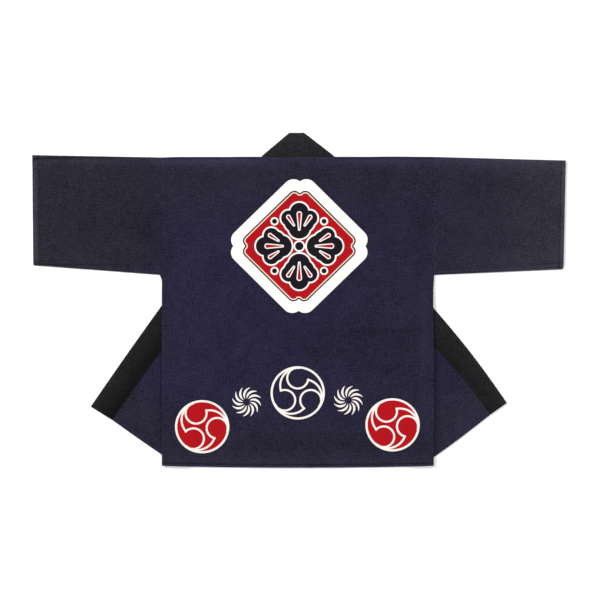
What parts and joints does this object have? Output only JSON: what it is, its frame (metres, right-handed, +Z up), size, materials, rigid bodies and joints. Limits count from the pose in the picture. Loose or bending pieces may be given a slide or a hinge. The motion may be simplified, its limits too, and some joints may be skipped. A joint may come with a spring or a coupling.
{
  "type": "happi coat",
  "caption": "Short straight-sleeved cotton coat laid flat with its back up, its fronts folded outward under it and a long collar band along their edges.",
  "frame": {"origin": "middle of the laid-out coat's bounding box, on the surface it lies on", "axes": "+X across the coat from the sleeve on the picture's left to the one on its right, +Y from the hem to the neck, +Z up from the surface, out of the coat's back"},
  "size_m": [1.2816, 0.8032, 0.0066],
  "materials": {
    "navy_cotton": "matt plain-woven cotton dyed deep navy, with motifs printed in red, white and black on the back",
    "black_cotton": "matt plain-woven cotton dyed black, folded double"
  },
  "bodies": {
    "root": {"back": "navy_cotton", "front_left": "navy_cotton", "front_right": "navy_cotton", "sleeve_left": "navy_cotton", "sleeve_right": "navy_cotton", "collar": "black_cotton"}
  },
  "joints": []
}
